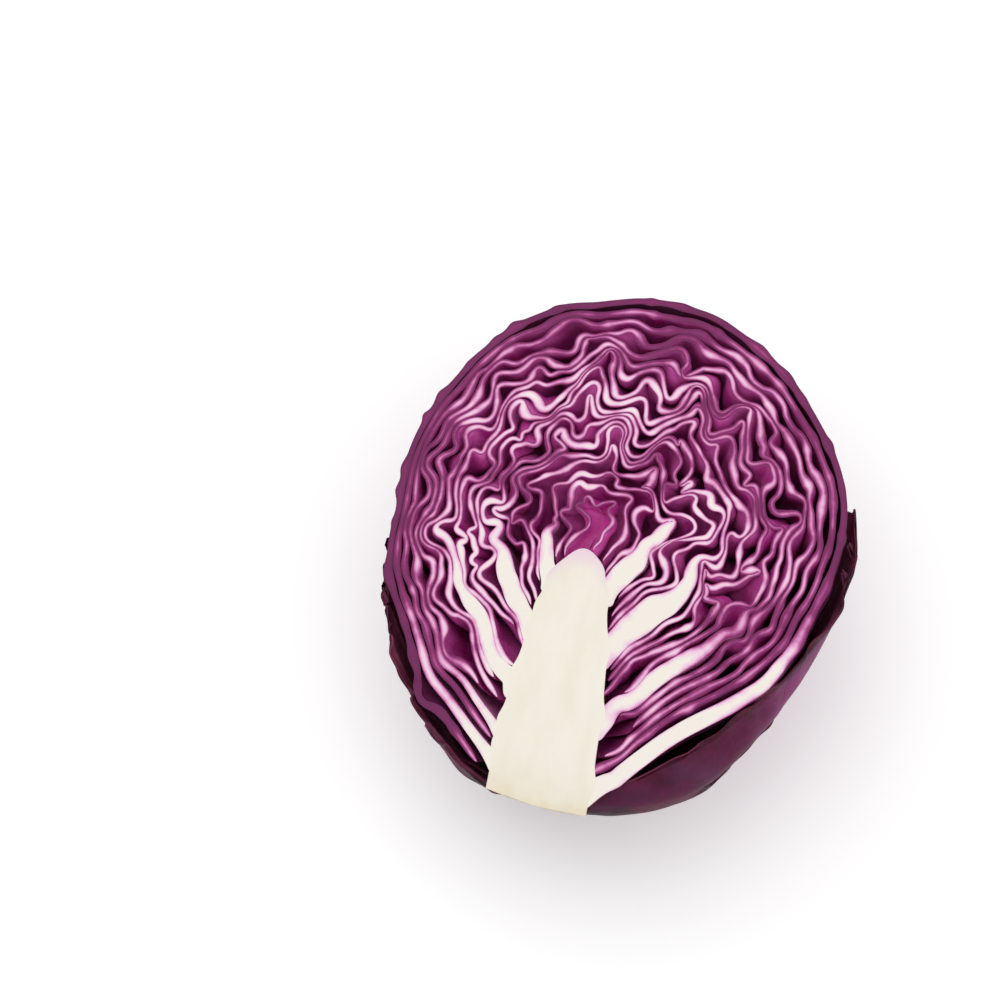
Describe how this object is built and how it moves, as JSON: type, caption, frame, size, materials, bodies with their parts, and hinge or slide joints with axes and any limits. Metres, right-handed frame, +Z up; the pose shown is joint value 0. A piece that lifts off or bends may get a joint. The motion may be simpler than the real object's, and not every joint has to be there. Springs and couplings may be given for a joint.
{
  "type": "halved red cabbage",
  "caption": "Red cabbage head cut in half through the core, lying on its round back with the cut face up.",
  "frame": {"origin": "on the resting surface, under the middle of the bounding box", "axes": "+Z up, out of the cut face; +Y along the core from the stem end to the top of the head; +X to the right across the cut face"},
  "size_m": [0.1482, 0.181, 0.079],
  "materials": {
    "core_tissue": "moist cream-white cut core",
    "head_leaf": "waxy purple leaf with a pale cut edge",
    "wrapper_leaf": "dark purple outer leaf with pink veins and a lilac bloom"
  },
  "bodies": {
    "root": {"core": "core_tissue", "wrapper_leaf_right": "wrapper_leaf", "wrapper_leaf_left": "wrapper_leaf", "wrapper_leaf_back": "wrapper_leaf", "head_leaf_01": "head_leaf", "head_leaf_02": "head_leaf", "head_leaf_03": "head_leaf", "head_leaf_04": "head_leaf", "head_leaf_05": "head_leaf", "head_leaf_06": "head_leaf", "head_leaf_07": "head_leaf", "head_leaf_08": "head_leaf", "head_leaf_09": "head_leaf", "head_leaf_10": "head_leaf", "head_leaf_11": "head_leaf", "head_leaf_12": "head_leaf", "head_leaf_13": "head_leaf", "head_leaf_14": "head_leaf", "head_leaf_15": "head_leaf", "head_leaf_16": "head_leaf", "head_leaf_17": "head_leaf", "head_leaf_18": "head_leaf"}
  },
  "joints": []
}
